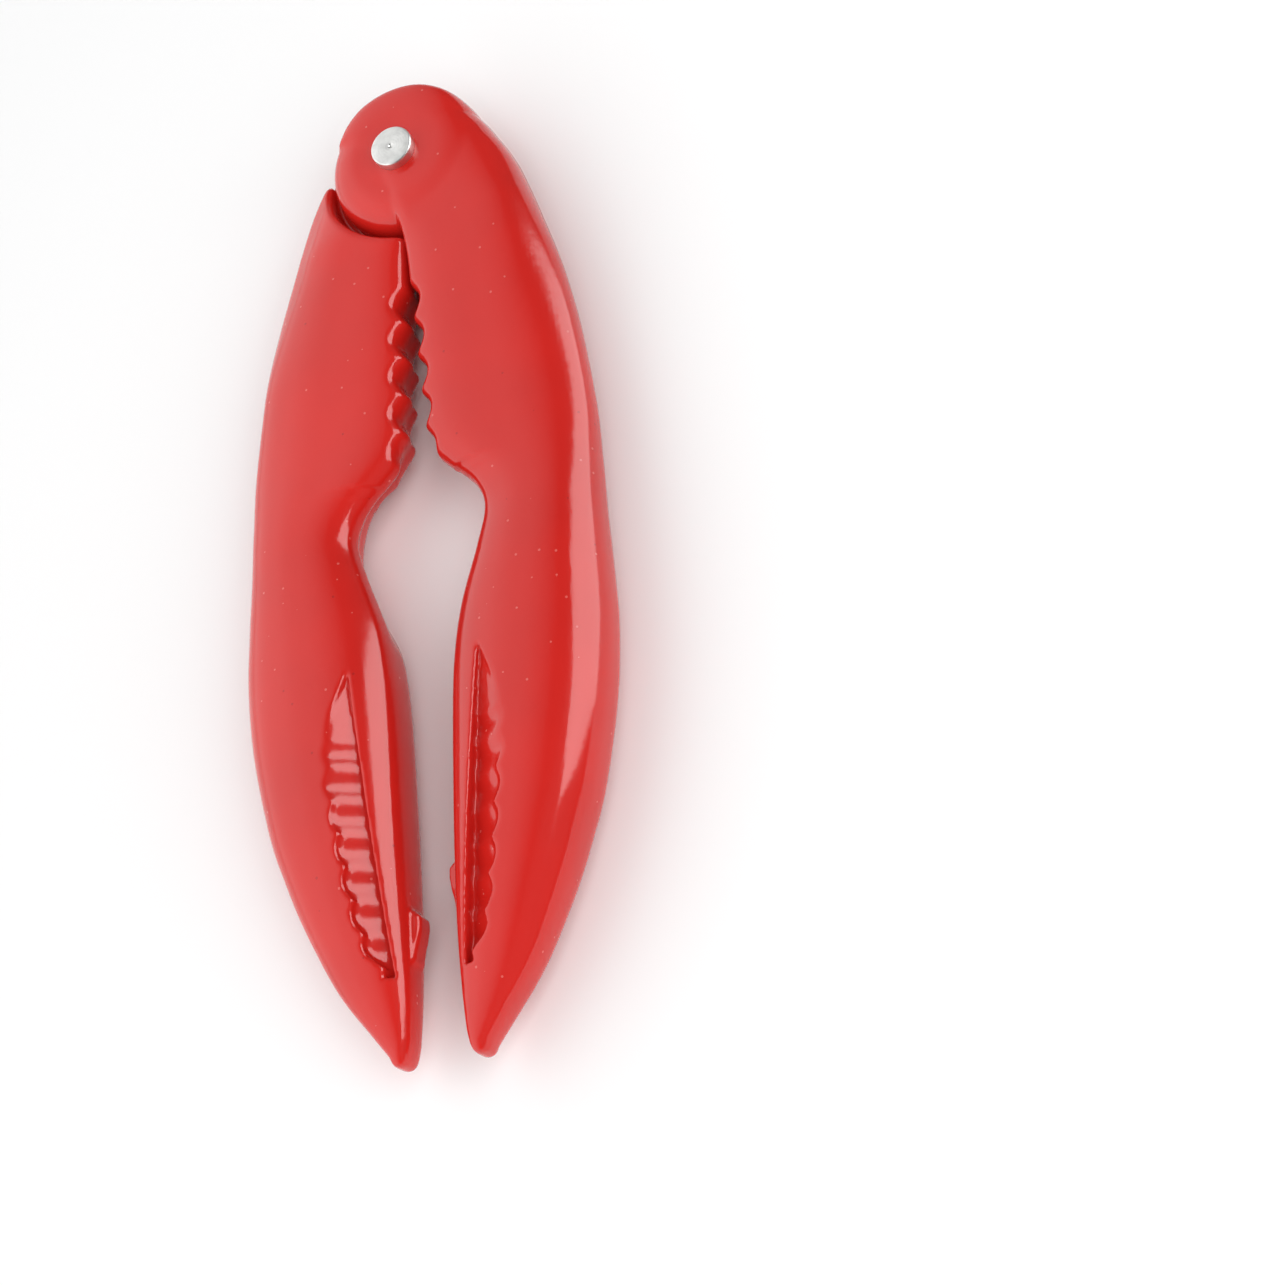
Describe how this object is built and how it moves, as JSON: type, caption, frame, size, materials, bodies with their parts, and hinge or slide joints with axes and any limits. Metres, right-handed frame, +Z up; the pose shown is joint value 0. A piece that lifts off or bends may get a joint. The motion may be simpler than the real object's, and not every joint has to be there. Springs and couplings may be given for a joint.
{
  "type": "lobster cracker",
  "caption": "Plier-like shellfish cracker: two crowned cast arms hinged on a rivet, with scalloped jaws, a round cracking hollow and grooved tapering handles.",
  "frame": {"origin": "centre of the rivet's flattened tail, in the plane the cracker rests on", "axes": "+Z up along the rivet, arms pointing along -Y with the opening angle shared equally, +X to the side of the arm that carries the rivet"},
  "size_m": [0.053, 0.1435, 0.0144],
  "materials": {
    "red_coat": "glossy baked red coating on zinc alloy castings",
    "rivet_steel": "bare bright steel, turned face"
  },
  "bodies": {
    "fixed_arm": {"right_arm": "red_coat", "pivot_rivet": "rivet_steel"},
    "swinging_arm": {"left_arm": "red_coat"}
  },
  "joints": [
    {"name": "arm_pivot", "type": "hinge", "parent": "fixed_arm", "child": "swinging_arm", "pos_m": [0, 0, 0.0068], "axis": [0, 0, -1], "range_deg": [-3, 80]}
  ]
}
